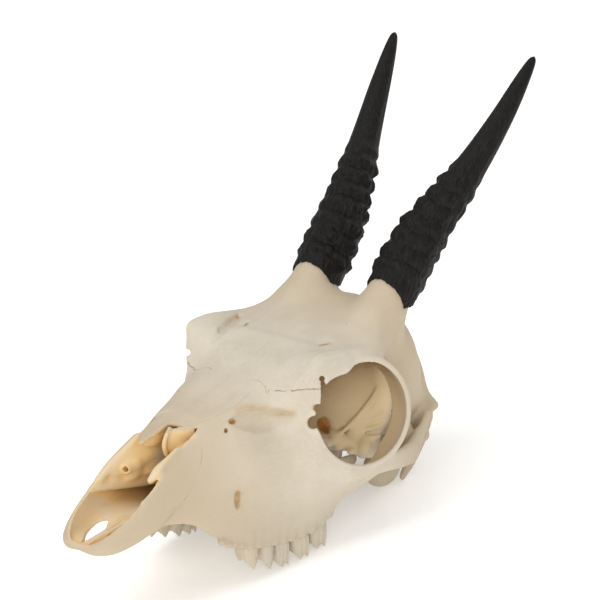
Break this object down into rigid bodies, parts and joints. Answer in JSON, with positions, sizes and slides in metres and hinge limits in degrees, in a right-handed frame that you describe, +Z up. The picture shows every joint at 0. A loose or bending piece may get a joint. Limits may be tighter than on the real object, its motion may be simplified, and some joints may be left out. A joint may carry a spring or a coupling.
{
  "type": "duiker skull",
  "caption": "Cleaned skull of a small antelope with ringed dark horn sheaths, round eye sockets, open nose and upper cheek teeth, standing on its teeth.",
  "frame": {"origin": "on the table, under the middle of the skull's bounding box as it stands on its teeth and the points beside its ear bulbs", "axes": "+X the animal's left, +Y from the snout to the back of the head, +Z up"},
  "size_m": [0.0782, 0.2134, 0.1388],
  "materials": {
    "bone": "matte",
    "horn": "satin",
    "tooth": "satin"
  },
  "bodies": {
    "root": {"skull": "bone", "horn_sheath_left": "horn", "horn_sheath_right": "horn", "tooth_p3_left": "tooth", "tooth_p4_left": "tooth", "tooth_m1_left": "tooth", "tooth_m2_left": "tooth", "tooth_m3_left": "tooth", "tooth_p3_right": "tooth", "tooth_p4_right": "tooth", "tooth_m1_right": "tooth", "tooth_m2_right": "tooth", "tooth_m3_right": "tooth"}
  },
  "joints": []
}
